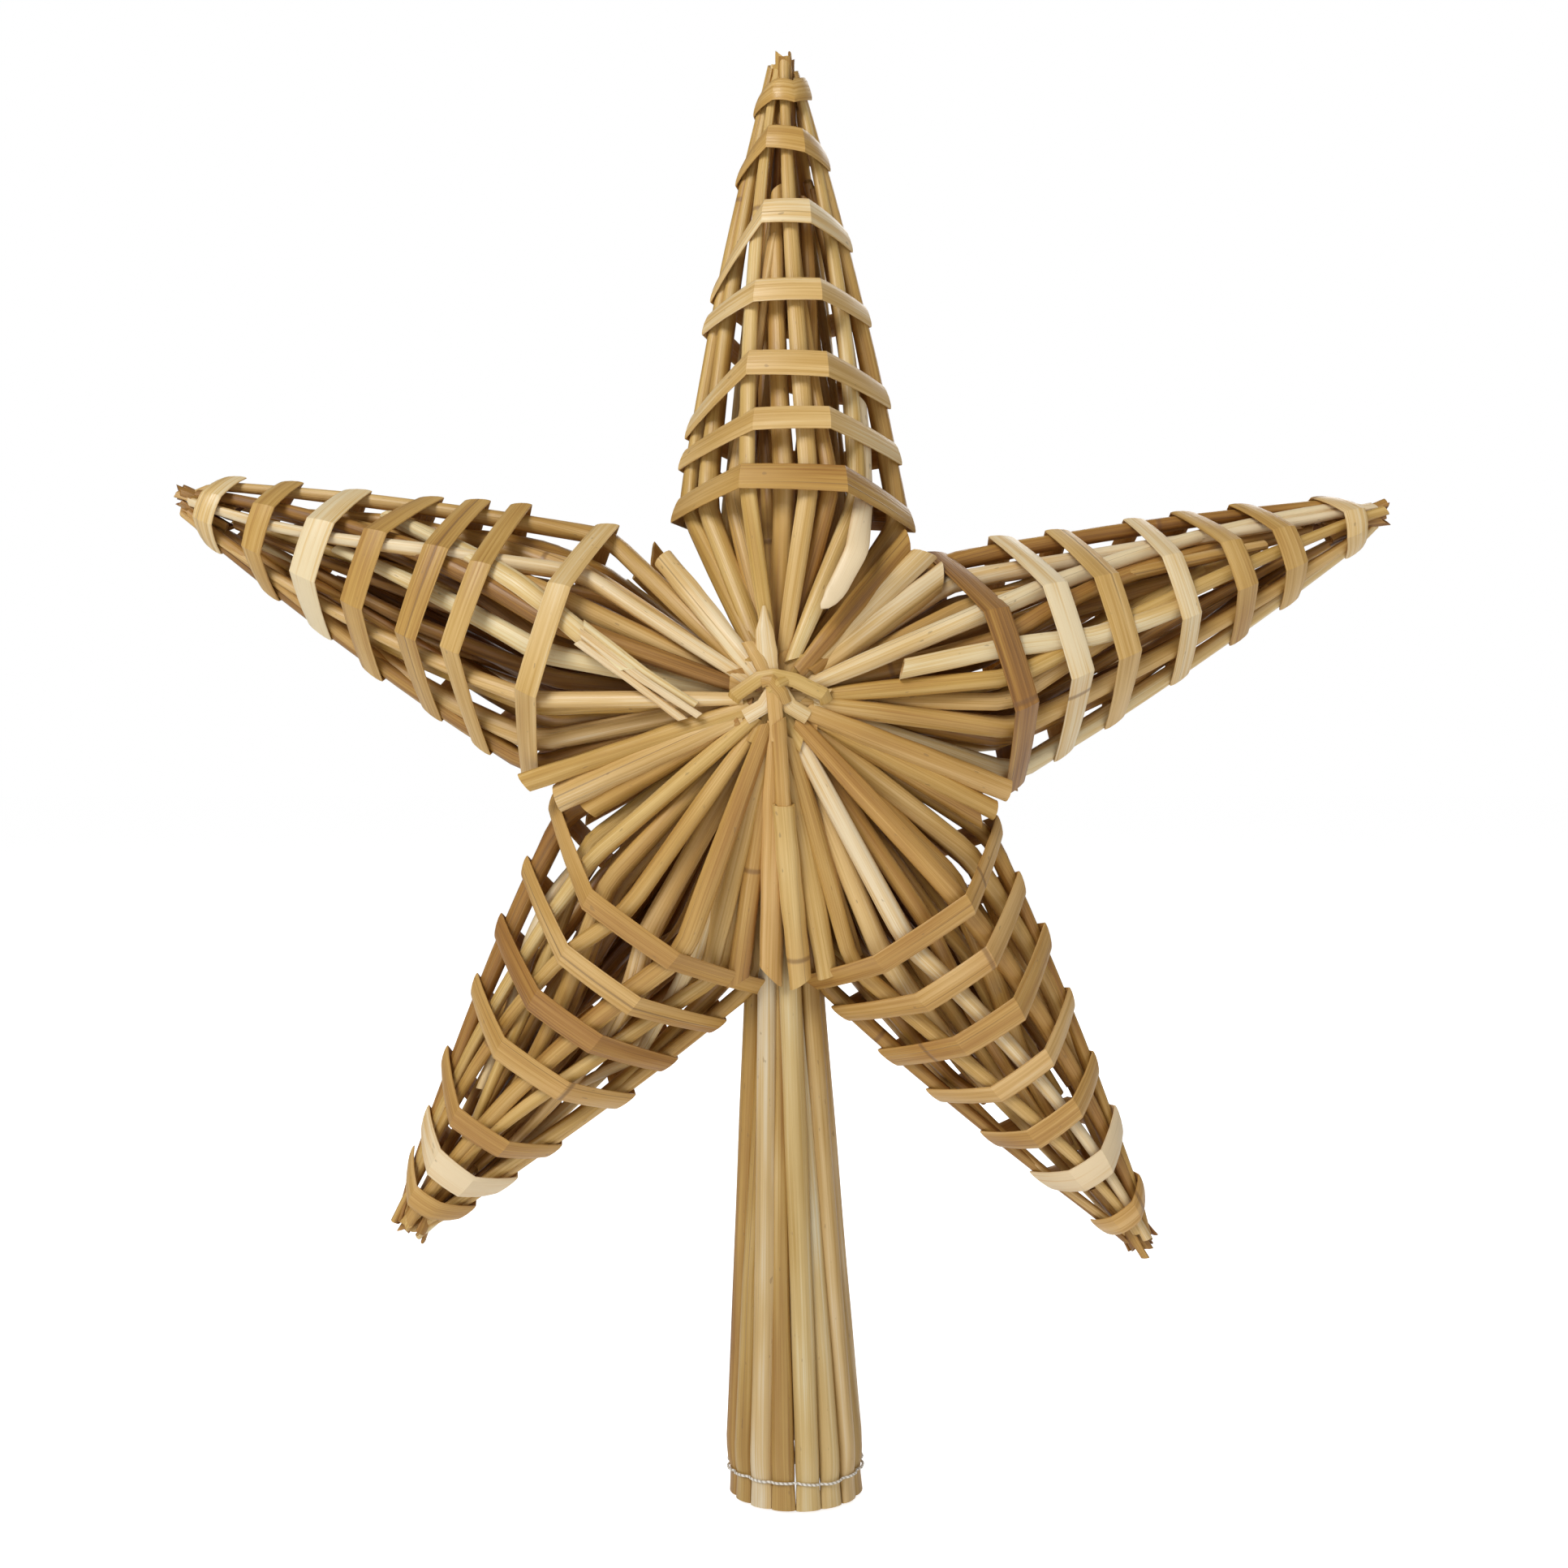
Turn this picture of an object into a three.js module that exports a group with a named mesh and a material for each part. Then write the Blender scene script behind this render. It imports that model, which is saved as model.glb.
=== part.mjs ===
// Woven straw star for the top of a tree: five open basketwork arms round a tied hub, on a tapering
// socket of whole straws. Millimetres, +Z up, the front of the star faces -Y. The origin is the
// centre of the socket's open rim, where the star is slipped over the leader of the tree.
import * as THREE from 'three';

// Places
const hubX = -3.6;
const hubZ = 149.4;

// Arms: angle from +X in degrees, length from the hub to the cut ends, how far its middle line lies
// to the side at the mouth and at the tip, and how far out each turn of its winding passes the front.
const arms = [
  { name: 'top', angle: 90.2, length: 122.5, lean: [2.4, 1.8],
    bands: [39.5, 50.5, 61, 75, 90.3, 105.5, 115.6] },
  { name: 'left', angle: 160.2, length: 120, lean: [-6.6, -1.5],
    bands: [43.3, 57.5, 67.5, 79.4, 90.6, 102, 113.2] },
  { name: 'right', angle: 18.3, length: 121, lean: [6, 1.5],
    bands: [42.1, 54, 63.9, 76.6, 88.9, 99.7, 114] },
  { name: 'lower_left', angle: -124.3, length: 122.5, lean: [-1.2, 1.8],
    bands: [50.6, 60.2, 70.3, 81.3, 97.2, 107.3, 115.4] },
  { name: 'lower_right', angle: -55.1, length: 124.5, lean: [2.3, 1.4],
    bands: [50.3, 60.5, 71.2, 82.5, 93.3, 105.8, 117.4] },
];
const baseReach = 38; // hub to the mouth of an arm
const baseRadius = 26; // corners of the winding at the mouth
const tipReach = 117; // hub to the last turn
const tipRadius = 4.9;
const hollowPull = 3.5; // how much lower a turn sits at the sides of an arm than at its front

// Winding: one flat straw strip bent over each stalk
const stripWidth = 4.3;
const stripThickness = 0.8;
const clearance = 0.35;

// Stalks of an arm, by their angle round the arm from its front
const stalkAngles = [-67.5, -22.5, 22.5, 67.5, 123.75, 180, 236.25];
const stalkRadius = 1.9; // at the mouth of the arm
const stalkTipRadius = 0.86; // under the last turn
const stalkEndRadius = 0.8; // at the cut end and at the hub
const bundleRadius = 2.6; // ring of cut ends
const hubReach = 5.2; // where the outermost layer of stalks ends at the hub
const hubReachUnder = 9.4; // the layer under it ends further out
const underDrop = 3.2;

// Socket
const socketStraws = 16;
const socketRadius = 11.55; // ring of straw centres at the rim
const socketTopRadius = 4.7;
const socketHeight = 126;
const strawRadius = 2.05;
const strawTopRadius = 0.75;
const rimFlat = 1.35; // half thickness of the pressed ends
const threadHeight = 5;
const threadRadius = 0.4;
const threadRing = 14.15;

// Hub ties
const tieRadius = 7;
const tieThickness = 1.2;
const tieStem = 3.9;
const tieInset = 4.5;

const strawColours = [0xd8bf86, 0xe4d3a2, 0xc9a767, 0xdcc691];
const stripColours = [0xd9bf83, 0xcfae6a, 0xe2d09c, 0xd2b478, 0xdabb74];

const degrees = Math.PI / 180;
const strawSides = 6;
const threadSides = 6;
const threadSteps = 32;

const star = new THREE.Group();

function strawMaterial(colour, roughness = 0.5) {
  return new THREE.MeshStandardMaterial({ color: colour, roughness, metalness: 0 });
}

function addMesh(parent, name, geometry, material) {
  const mesh = new THREE.Mesh(geometry, material);
  mesh.name = name;
  parent.add(mesh);
}

// Carries a unit prism along stations: its X goes across, its Y along and its Z outward.
function sweep(prism, stations) {
  const position = prism.getAttribute('position');
  const point = new THREE.Vector3();
  for (let i = 0; i < position.count; i += 1) {
    point.fromBufferAttribute(position, i);
    const level = Math.round((point.y + 0.5) * (stations.length - 1));
    const { at, across, outward, width, thickness } = stations[level];
    const placed = at.clone()
      .addScaledVector(across, point.x * width)
      .addScaledVector(outward, point.z * thickness);
    position.setXYZ(i, placed.x, placed.y, placed.z);
  }
  prism.computeVertexNormals();
  return prism;
}

// Stations of a straw through points, each {at, outward, radius, flat}, square to its run.
function strawStations(points) {
  return points.map(({ at, outward, radius, flat = radius }, i) => {
    const before = points[Math.max(i - 1, 0)].at;
    const after = points[Math.min(i + 1, points.length - 1)].at;
    const along = after.clone().sub(before).normalize();
    const across = along.clone().cross(outward).normalize();
    return { at, across, outward: across.clone().cross(along), width: radius, thickness: flat };
  });
}

function straw(points, sides = strawSides) {
  const prism = new THREE.CylinderGeometry(1, 1, 1, sides, points.length - 1);
  return sweep(prism, strawStations(points));
}

// An arm stands on the hub with its run along Z and its front at -Y, before its group is turned.
function radial(angle) {
  return new THREE.Vector3(Math.sin(angle * degrees), -Math.cos(angle * degrees), 0);
}

function outerRadius(reach) {
  const within = THREE.MathUtils.clamp(reach, baseReach, tipReach);
  return THREE.MathUtils.mapLinear(within, baseReach, tipReach, baseRadius, tipRadius);
}

function stalkSize(reach) {
  return THREE.MathUtils.mapLinear(reach, baseReach, tipReach, stalkRadius, stalkTipRadius);
}

// Ring on which the stalks lie, so that the strip bent over them clears them on both sides
function stalkRing(reach) {
  const bend = 1 / Math.cos(30 * degrees);
  return outerRadius(reach) - stripThickness - bend * (stalkSize(reach) + clearance);
}

// A place on a ring round the arm's middle line, which leans to the side by lean
function onRing(angle, radius, reach, lean) {
  const share = THREE.MathUtils.clamp((reach - baseReach) / (tipReach - baseReach), 0, 1);
  const place = radial(angle).multiplyScalar(radius).setZ(reach);
  place.x += THREE.MathUtils.lerp(lean[0], lean[1], share);
  return place;
}

function stalk(angle, length, lean) {
  const outward = radial(angle);
  const mouth = onRing(angle, stalkRing(baseReach), baseReach, lean);
  const sideways = stalkRing(baseReach) * outward.x;
  const under = Math.abs(sideways) > stalkRing(baseReach) / 2;
  const azimuth = Math.atan2(sideways, baseReach);
  const reach = under ? hubReachUnder : hubReach;
  const depth = stalkRing(baseReach) * Math.cos(stalkAngles[2] * degrees) - (under ? underDrop : 0);
  const start = new THREE.Vector3(reach * Math.sin(azimuth), Math.sign(mouth.y) * depth,
    reach * Math.cos(azimuth));
  const facing = new THREE.Vector3(0, Math.sign(mouth.y), 0);
  const points = [
    { at: start, outward: facing, radius: under ? 0.68 : stalkEndRadius },
    { at: mouth, outward, radius: stalkRadius },
    { at: onRing(angle, stalkRing(tipReach), tipReach, lean), outward, radius: stalkTipRadius },
    { at: onRing(angle, bundleRadius, length, lean), outward, radius: stalkEndRadius },
  ];
  return straw(points);
}

// How far out the strip is after a number of turns, counted from where it first passes the front
function stripReach(turns, bands) {
  const last = bands.length - 1;
  const step = THREE.MathUtils.clamp(Math.floor(turns), 0, last - 1);
  const run = THREE.MathUtils.lerp(bands[step], bands[step + 1], turns - step);
  const round = Math.sin(turns * 2 * Math.PI);
  const pull = hollowPull * outerRadius(run) / baseRadius;
  return run - pull * round * round;
}

function winding(bands, lean) {
  const stations = [];
  const slope = Math.atan2(baseRadius - tipRadius, tipReach - baseReach);
  const firstTurn = -0.5;
  const lastTurn = bands.length - 1 + 0.2;
  for (let turn = -1; turn < bands.length; turn += 1) {
    stalkAngles.forEach((angle) => {
      const turns = turn + angle / 360;
      if (turns < firstTurn || turns > lastTurn) return;
      const reach = stripReach(turns, bands);
      const across = radial(angle).multiplyScalar(Math.sin(slope)).setZ(-Math.cos(slope));
      const outward = radial(angle).multiplyScalar(Math.cos(slope)).setZ(Math.sin(slope));
      const at = onRing(angle, outerRadius(reach) - stripThickness / 2, reach, lean);
      stations.push({ at, across, outward, width: stripWidth, thickness: stripThickness });
    });
  }
  return sweep(new THREE.BoxGeometry(1, 1, 1, 1, stations.length - 1, 1), stations);
}

function addArm({ name, angle, length, lean, bands }, index) {
  const arm = new THREE.Group();
  arm.position.set(hubX, 0, hubZ);
  arm.rotation.y = (90 - angle) * degrees;
  stalkAngles.forEach((stalkAngle, i) => {
    const colour = strawColours[(index + i) % strawColours.length];
    const shape = stalk(stalkAngle, length, lean);
    addMesh(arm, `${name}_arm_stalk_${i + 1}`, shape, strawMaterial(colour));
  });
  const strip = winding(bands, lean);
  addMesh(arm, `${name}_arm_winding`, strip, strawMaterial(stripColours[index], 0.42));
  star.add(arm);
}

// Centre line of the socket leans towards the hub.
function socketPoint(angle, radius, height) {
  const lean = hubX * height / hubZ;
  return new THREE.Vector3(lean + radius * Math.cos(angle), radius * Math.sin(angle), height);
}

function addSocket() {
  const heights = [0, threadHeight - 1, threadHeight + 2.5, socketHeight];
  for (let i = 0; i < socketStraws; i += 1) {
    const angle = (i + 0.5) * 2 * Math.PI / socketStraws;
    const outward = new THREE.Vector3(Math.cos(angle), Math.sin(angle), 0);
    const points = heights.map((height, level) => {
      const share = height / socketHeight;
      const radius = THREE.MathUtils.lerp(strawRadius, strawTopRadius, share);
      const ring = THREE.MathUtils.lerp(socketRadius, socketTopRadius, share);
      return {
        at: socketPoint(angle, ring, height),
        outward,
        radius,
        flat: level < 2 ? rimFlat : radius,
      };
    });
    const colour = strawColours[i % strawColours.length];
    addMesh(star, `socket_straw_${i + 1}`, straw(points), strawMaterial(colour, 0.55));
  }
}

function addThread() {
  const profile = [];
  for (let i = 0; i <= threadSides; i += 1) {
    const angle = i % threadSides * 2 * Math.PI / threadSides;
    profile.push(new THREE.Vector2(
      threadRing + threadRadius * Math.cos(angle),
      threadHeight + threadRadius * Math.sin(angle),
    ));
  }
  const ring = new THREE.LatheGeometry(profile, threadSteps);
  ring.rotateX(90 * degrees);
  addMesh(star, 'socket_thread', ring, strawMaterial(0xf4f0e6, 0.8));
}

// A strip tied over the crossing of the stalks, with its knot pushed in between their ends
function addTie(name, side) {
  const face = stalkRing(baseReach) * Math.cos(stalkAngles[2] * degrees) + stalkEndRadius + clearance;
  const profile = [
    new THREE.Vector2(0, face - tieInset),
    new THREE.Vector2(tieStem, face - tieInset),
    new THREE.Vector2(tieStem, face),
    new THREE.Vector2(tieRadius, face),
    new THREE.Vector2(tieRadius - 0.5, face + tieThickness),
    new THREE.Vector2(0, face + tieThickness + 0.4),
  ];
  const tie = new THREE.LatheGeometry(profile, 12);
  if (side < 0) tie.rotateX(Math.PI);
  tie.translate(hubX, 0, hubZ);
  addMesh(star, name, tie, strawMaterial(0xd3b473, 0.45));
}

arms.forEach(addArm);
addSocket();
addThread();
addTie('front_tie', -1);
addTie('back_tie', 1);

export default star;
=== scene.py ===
import math
import random

import bmesh
import bpy
import numpy as np
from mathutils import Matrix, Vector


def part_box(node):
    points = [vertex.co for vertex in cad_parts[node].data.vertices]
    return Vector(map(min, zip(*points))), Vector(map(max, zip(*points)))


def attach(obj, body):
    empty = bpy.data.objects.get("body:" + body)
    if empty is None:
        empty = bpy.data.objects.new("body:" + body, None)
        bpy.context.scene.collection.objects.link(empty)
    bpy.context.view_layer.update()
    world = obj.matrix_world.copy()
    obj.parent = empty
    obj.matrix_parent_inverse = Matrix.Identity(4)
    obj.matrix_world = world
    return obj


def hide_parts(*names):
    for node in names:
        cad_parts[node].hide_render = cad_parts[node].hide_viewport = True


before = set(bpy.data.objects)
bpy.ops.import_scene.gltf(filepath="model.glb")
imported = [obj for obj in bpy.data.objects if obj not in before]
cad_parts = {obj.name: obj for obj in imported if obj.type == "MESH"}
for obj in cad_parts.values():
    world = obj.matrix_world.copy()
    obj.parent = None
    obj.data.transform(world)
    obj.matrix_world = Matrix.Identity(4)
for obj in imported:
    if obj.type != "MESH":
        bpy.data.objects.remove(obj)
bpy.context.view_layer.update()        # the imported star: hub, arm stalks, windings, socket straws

mm = 0.001
scene = bpy.context.scene
rng = random.Random(11)
armNames = ("top", "left", "right", "lower_left", "lower_right")


# small helpers
def deselectAll():
    bpy.ops.object.select_all(action="DESELECT")


def nodeVerts(node):
    mesh = bpy.data.objects[node].data
    places = np.empty(len(mesh.vertices) * 3)
    mesh.vertices.foreach_get("co", places)
    return places.reshape(-1, 3) / mm


def unit(v):
    v = np.asarray(v, float)
    return v / np.maximum(np.linalg.norm(v, axis=-1, keepdims=True), 1e-9)


def mix(a, b, share):
    return a + (b - a) * share


def spread(amount):
    return rng.uniform(-amount, amount)


# camera, light and floor
viewSet = dict(place=(-2.3, -357.0, 134.2), lens=42.9, sensor=36.0)

camera = bpy.data.objects.new("camera", bpy.data.cameras.new("camera"))
camera.data.lens = viewSet["lens"]
camera.data.sensor_width = viewSet["sensor"]
camera.data.clip_start = 0.01
camera.location = [v * mm for v in viewSet["place"]]
camera.rotation_euler = (math.radians(90), 0, 0)
scene.collection.objects.link(camera)
scene.camera = camera

studioSet = dict(
    floorSize=40.0, floorDrop=0.0006, floorColour=(0.93, 0.93, 0.93, 1), floorGlow=0.22, floorSeen=0.82,
    sky=0.19, backdrop=1.0, aim=(0, 0, 0.14),
    # name: place, size and power
    lamps={"keyLamp": ((-0.45, -0.75, 0.75), 0.45, 7.4), "fillLamp": ((0.7, -0.6, 0.35), 0.6, 0.8),
           "backLamp": ((0.3, 0.8, 0.6), 0.6, 3.0)},
)


def addLamp(name, place, size, power):
    lamp = bpy.data.objects.new(name, bpy.data.lights.new(name, "AREA"))
    lamp.data.size = size
    lamp.data.energy = power
    lamp.location = place
    way = np.array(studioSet["aim"]) - np.array(place)
    lamp.rotation_euler = (math.atan2(math.hypot(way[0], way[1]), -way[2]), 0,
                           math.atan2(-way[0], way[1]))
    scene.collection.objects.link(lamp)


def addStudio():
    world = bpy.data.worlds.new("studio")
    world.use_nodes = True
    nodes, links = world.node_tree.nodes, world.node_tree.links
    sky = nodes["Background"]
    backdrop = nodes.new("ShaderNodeBackground")
    seen = nodes.new("ShaderNodeLightPath")
    choose = nodes.new("ShaderNodeMixShader")
    for shade, strength in ((sky, "sky"), (backdrop, "backdrop")):
        shade.inputs["Color"].default_value = (1, 1, 1, 1)
        shade.inputs["Strength"].default_value = studioSet[strength]
    links.new(seen.outputs["Is Camera Ray"], choose.inputs[0])
    links.new(sky.outputs[0], choose.inputs[1])
    links.new(backdrop.outputs[0], choose.inputs[2])
    links.new(choose.outputs[0], nodes["World Output"].inputs[0])
    scene.world = world
    scene.view_settings.view_transform = "Standard"
    deselectAll()
    bpy.ops.mesh.primitive_plane_add(size=studioSet["floorSize"],
                                     location=(0, 0, -studioSet["floorDrop"]))
    floor = bpy.context.object
    floor.name = "floor"
    paper = bpy.data.materials.new("floorPaper")
    paper.use_nodes = True
    finish = paper.node_tree.nodes["Principled BSDF"]
    finish.inputs["Base Color"].default_value = studioSet["floorColour"]
    finish.inputs["Roughness"].default_value = 0.9
    finish.inputs["Emission Color"].default_value = (1, 1, 1, 1)
    # the floor shows white, and lights the star less than it shows
    seenFloor = paper.node_tree.nodes.new("ShaderNodeLightPath")
    glow = paper.node_tree.nodes.new("ShaderNodeMapRange")
    glow.inputs["To Min"].default_value = studioSet["floorGlow"]
    glow.inputs["To Max"].default_value = studioSet["floorSeen"]
    paper.node_tree.links.new(seenFloor.outputs["Is Camera Ray"], glow.inputs["Value"])
    paper.node_tree.links.new(glow.outputs[0], finish.inputs["Emission Strength"])
    floor.data.materials.append(paper)
    for name, (place, size, power) in studioSet["lamps"].items():
        addLamp(name, place, size, power)


addStudio()
print("studio ready")


# shader maths
class Value:
    def __init__(self, sheet, socket):
        self.sheet, self.socket = sheet, socket

    def maths(self, operation, other=None, flip=False):
        pair = [self, other] if not flip else [other, self]
        values = {i: v for i, v in enumerate(pair) if v is not None}
        return self.sheet.add("ShaderNodeMath", dict(operation=operation), values)

    def __add__(self, other):
        return self.maths("ADD", other)

    def __sub__(self, other):
        return self.maths("SUBTRACT", other)

    def __mul__(self, other):
        return self.maths("MULTIPLY", other)

    def __truediv__(self, other):
        return self.maths("DIVIDE", other)

    def __rsub__(self, other):
        return self.maths("SUBTRACT", other, flip=True)

    __radd__ = __add__
    __rmul__ = __mul__


class Sheet:
    def __init__(self, name):
        self.material = bpy.data.materials.new(name)
        self.material.use_nodes = True
        self.tree = self.material.node_tree
        self.finish = self.tree.nodes["Principled BSDF"]

    def add(self, kind, settings=None, values=None, out=0):
        node = self.tree.nodes.new(kind)
        for key, value in (settings or {}).items():
            if key == "stops":
                self.setStops(node.color_ramp, value)
            else:
                setattr(node, key, value)
        for key, value in (values or {}).items():
            self.put(node.inputs[key], value)
        return Value(self, node.outputs[out])

    def setStops(self, ramp, stops):
        while len(ramp.elements) > 1:
            ramp.elements.remove(ramp.elements[-1])
        for i, (place, colour) in enumerate(stops):
            stop = ramp.elements[0] if i == 0 else ramp.elements.new(place)
            stop.position = place
            stop.color = (*colour, 1)

    def put(self, socket, value):
        if isinstance(value, Value):
            self.tree.links.new(value.socket, socket)
        else:
            socket.default_value = value

    def set(self, **values):
        for key, value in values.items():
            self.put(self.finish.inputs[key.replace("_", " ")], value)

    def vector(self, x=0, y=0, z=0):
        return self.add("ShaderNodeCombineXYZ", None, {0: x, 1: y, 2: z})

    def noise(self, vector, scale=1.0, detail=2.0, rough=0.5):
        values = {"Vector": vector, "Scale": scale, "Detail": detail, "Roughness": rough}
        return self.add("ShaderNodeTexNoise", None, values)

    def band(self, value, low, high):
        settings = dict(interpolation_type="SMOOTHSTEP")
        return self.add("ShaderNodeMapRange", settings, {0: value, 1: low, 2: high, 3: 0.0, 4: 1.0})

    def blend(self, kind, share, a, b):
        settings = dict(data_type="RGBA", blend_type=kind)
        return self.add("ShaderNodeMix", settings, {0: share, 6: a, 7: b}, out=2)


strawShades = [
    (0.0, (0.83, 0.675, 0.435)), (0.2, (0.72, 0.485, 0.205)), (0.46, (0.55, 0.325, 0.091)),
    (0.74, (0.37, 0.178, 0.040)), (1.0, (0.17, 0.070, 0.018)),
]
strawTints = [(0.0, (1.0, 0.98, 0.84)), (0.3, (1.0, 1.0, 1.0)), (0.6, (0.98, 1.0, 0.88)),
              (0.8, (1.0, 1.0, 1.0)), (1.0, (1.0, 0.95, 0.90))]


def strawFinish(name, gloss=0.4, coat=0.12, fibre=1.0, joints=0.35, wash=(1, 1, 1, 1)):
    s = Sheet(name)
    uv = s.add("ShaderNodeUVMap", dict(uv_map="strawMap"))
    split = s.add("ShaderNodeSeparateXYZ", None, {0: uv})
    u, v = split, Value(s, split.socket.node.outputs[1])
    shade = s.add("ShaderNodeAttribute", dict(attribute_name="shade"), out=2)
    which = s.add("ShaderNodeMath", dict(operation="FLOOR"), {0: u})
    around = u - which
    chance = s.add("ShaderNodeTexWhiteNoise", dict(noise_dimensions="1D"), {"W": which})
    second = s.add("ShaderNodeTexWhiteNoise", dict(noise_dimensions="1D"), {"W": which + 0.37})
    # fibres run the length of the straw: fine across, slow along
    fine = s.noise(s.vector(around * 58, v * 34, which * 3.7), detail=3)
    broad = s.noise(s.vector(around * 12, v * 18, which * 5.1), detail=2)
    slow = s.noise(s.vector(around * 1.5, v * 26, which * 2.3), detail=2)
    tone = shade + (slow - 0.5) * 0.75 + (broad - 0.5) * 0.55 + (fine - 0.5) * (0.5 * fibre)
    colour = s.add("ShaderNodeValToRGB", dict(stops=strawShades), {0: tone})
    tint = s.add("ShaderNodeValToRGB", dict(stops=strawTints), {0: second})
    colour = s.blend("MULTIPLY", 1.0, colour, tint)
    colour = s.blend("MULTIPLY", 1.0, colour, wash)
    # a few straws have a joint: a thin brown ring, the straw a little darker beside it
    turn = s.add("ShaderNodeMath", dict(operation="FRACT"), {0: v / 0.145 + chance * 7})
    off = s.add("ShaderNodeMath", dict(operation="ABSOLUTE"), {0: turn - 0.5})
    has = s.band(chance, 1 - joints, 1.002 - joints)
    ring = (1 - s.band(off, 0.001, 0.005)) * has
    halo = (1 - s.band(off, 0.0, 0.06)) * has
    colour = s.blend("MIX", ring * 0.6, colour, (0.20, 0.10, 0.04, 1))
    colour = s.blend("MULTIPLY", halo * 0.3, colour, (0.85, 0.70, 0.52, 1))
    # painted shade: the sides that lie against other straws are darkened, as in the shade between them
    inner = s.add("ShaderNodeMath", dict(operation="ABSOLUTE"), {0: around - 0.5})
    paintedSideShade = s.band(inner + (broad - 0.5) * 0.12, 0.16, 0.42)
    colour = s.blend("MULTIPLY", paintedSideShade * 0.8, colour, (0.70, 0.51, 0.29, 1))
    # dark splits between the fibres, and specks of weathering
    slit = s.band(s.noise(s.vector(around * 30, v * 7, which * 8.3), detail=1), 0.70, 0.76)
    colour = s.blend("MIX", slit * (0.55 * fibre), colour, (0.24, 0.13, 0.05, 1))
    dots = s.noise(s.vector(around * 16, v * 420, which * 1.9), detail=1)
    speck = s.band(dots, 0.73, 0.79)
    colour = s.blend("MIX", speck * 0.45, colour, (0.24, 0.14, 0.06, 1))
    height = fine * 0.7 + broad * 0.4 + ring * 0.6 - slit * 0.6
    bump = s.add("ShaderNodeBump", None, {"Strength": 0.45, "Distance": 0.00025, "Height": height})
    s.set(Base_Color=colour, Roughness=(fine * 0.25 + broad * 0.15) + (gloss - 0.2), Normal=bump)
    s.set(Coat_Weight=coat, Coat_Roughness=0.3, Specular_IOR_Level=0.4)
    return s.material


def threadFinish(name):
    s = Sheet(name)
    uv = s.add("ShaderNodeUVMap", dict(uv_map="UVMap"))
    split = s.add("ShaderNodeSeparateXYZ", None, {0: uv})
    u, v = split, Value(s, split.socket.node.outputs[1])
    twist = s.add("ShaderNodeMath", dict(operation="SINE"), {0: (u * 95 + v) * (2 * math.pi)})
    ply = s.band(twist, -0.9, 0.6)
    fluff = s.noise(s.vector(u * 700, v * 6, 0), detail=3)
    colour = s.blend("MIX", ply, (0.50, 0.45, 0.37, 1), (0.86, 0.83, 0.77, 1))
    colour = s.blend("MULTIPLY", fluff * 0.4, colour, (0.82, 0.78, 0.70, 1))
    bump = s.add("ShaderNodeBump", None,
                 {"Strength": 0.6, "Distance": 0.00006, "Height": ply + fluff * 0.4})
    s.set(Base_Color=colour, Roughness=fluff * 0.2 + 0.7, Normal=bump)
    return s.material


# one straw, modelled straight and bent along its route
strawSet = dict(sides=14, rings=34, wall=0.26, hollow=0.035, cutEnd=0.08, seam=0.97)
spanSet = dict(sides=14, rings=3, crown=0.16, squareness=(0.75, 0.85))


def selectFaces(ob, test):
    mesh = bmesh.from_edit_mesh(ob.data)
    for face in mesh.faces:
        face.select = test(face)
    mesh.select_flush_mode()
    bmesh.update_edit_mesh(ob.data)


def selectEdges(ob, test):
    mesh = bmesh.from_edit_mesh(ob.data)
    for edge in mesh.edges:
        edge.select = test(edge)
    mesh.select_flush_mode()
    bmesh.update_edit_mesh(ob.data)


def runsAlong(edge):
    a, b = (vert.co for vert in edge.verts)
    return abs(a.z - b.z) > 0.1


def straightStock(sides, rings, hollow):
    # a tube one unit long and one in radius, standing on the origin
    deselectAll()
    bpy.ops.mesh.primitive_cylinder_add(vertices=sides, radius=1, depth=1, location=(0, 0, 0.5))
    ob = bpy.context.object
    bpy.ops.object.transform_apply(location=True, rotation=False, scale=False)
    bpy.ops.object.mode_set(mode="EDIT")
    bpy.ops.mesh.select_mode(type="EDGE")
    selectEdges(ob, runsAlong)
    bpy.ops.mesh.subdivide(number_cuts=rings)
    bpy.ops.mesh.select_mode(type="FACE")
    for way in (-1, 1):
        if hollow:
            selectFaces(ob, lambda face: face.normal.z * way > 0.9 and len(face.verts) == sides)
            bpy.ops.mesh.inset(thickness=strawSet["wall"])
            inward = (0, 0, -way * hollow)
            bpy.ops.mesh.extrude_region_move(TRANSFORM_OT_translate=dict(value=inward))
        else:
            selectFaces(ob, lambda face: abs(face.normal.z) > 0.9)
            bpy.ops.mesh.delete(type="FACE")
            break
    bpy.ops.object.mode_set(mode="OBJECT")
    mesh = ob.data
    places = np.empty(len(mesh.vertices) * 3)
    mesh.vertices.foreach_get("co", places)
    corners = np.empty(len(mesh.loops), int)
    mesh.loops.foreach_get("vertex_index", corners)
    counts = np.empty(len(mesh.polygons), int)
    mesh.polygons.foreach_get("loop_total", counts)
    bpy.data.objects.remove(ob)
    return dict(places=places.reshape(-1, 3), corners=corners, counts=counts)


strawStock = straightStock(strawSet["sides"], strawSet["rings"], strawSet["hollow"])
spanStock = straightStock(spanSet["sides"], spanSet["rings"], 0)


def loopTurns(stock):
    # where each face corner lies round the tube, 0 to 1, with the seam on the inner side
    x, y = stock["places"][:, 0], stock["places"][:, 1]
    turn = (np.arctan2(x, y) / (2 * math.pi) + 0.5)[stock["corners"]]
    start = np.concatenate([[0], np.cumsum(stock["counts"])[:-1]])
    for first, count in zip(start, stock["counts"]):
        part = turn[first:first + count]
        if part.max() - part.min() > 0.5 and count == 4:
            part[part < 0.5] += 1
    return turn


strawStock["turns"] = loopTurns(strawStock)
spanStock["turns"] = loopTurns(spanStock)


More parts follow.
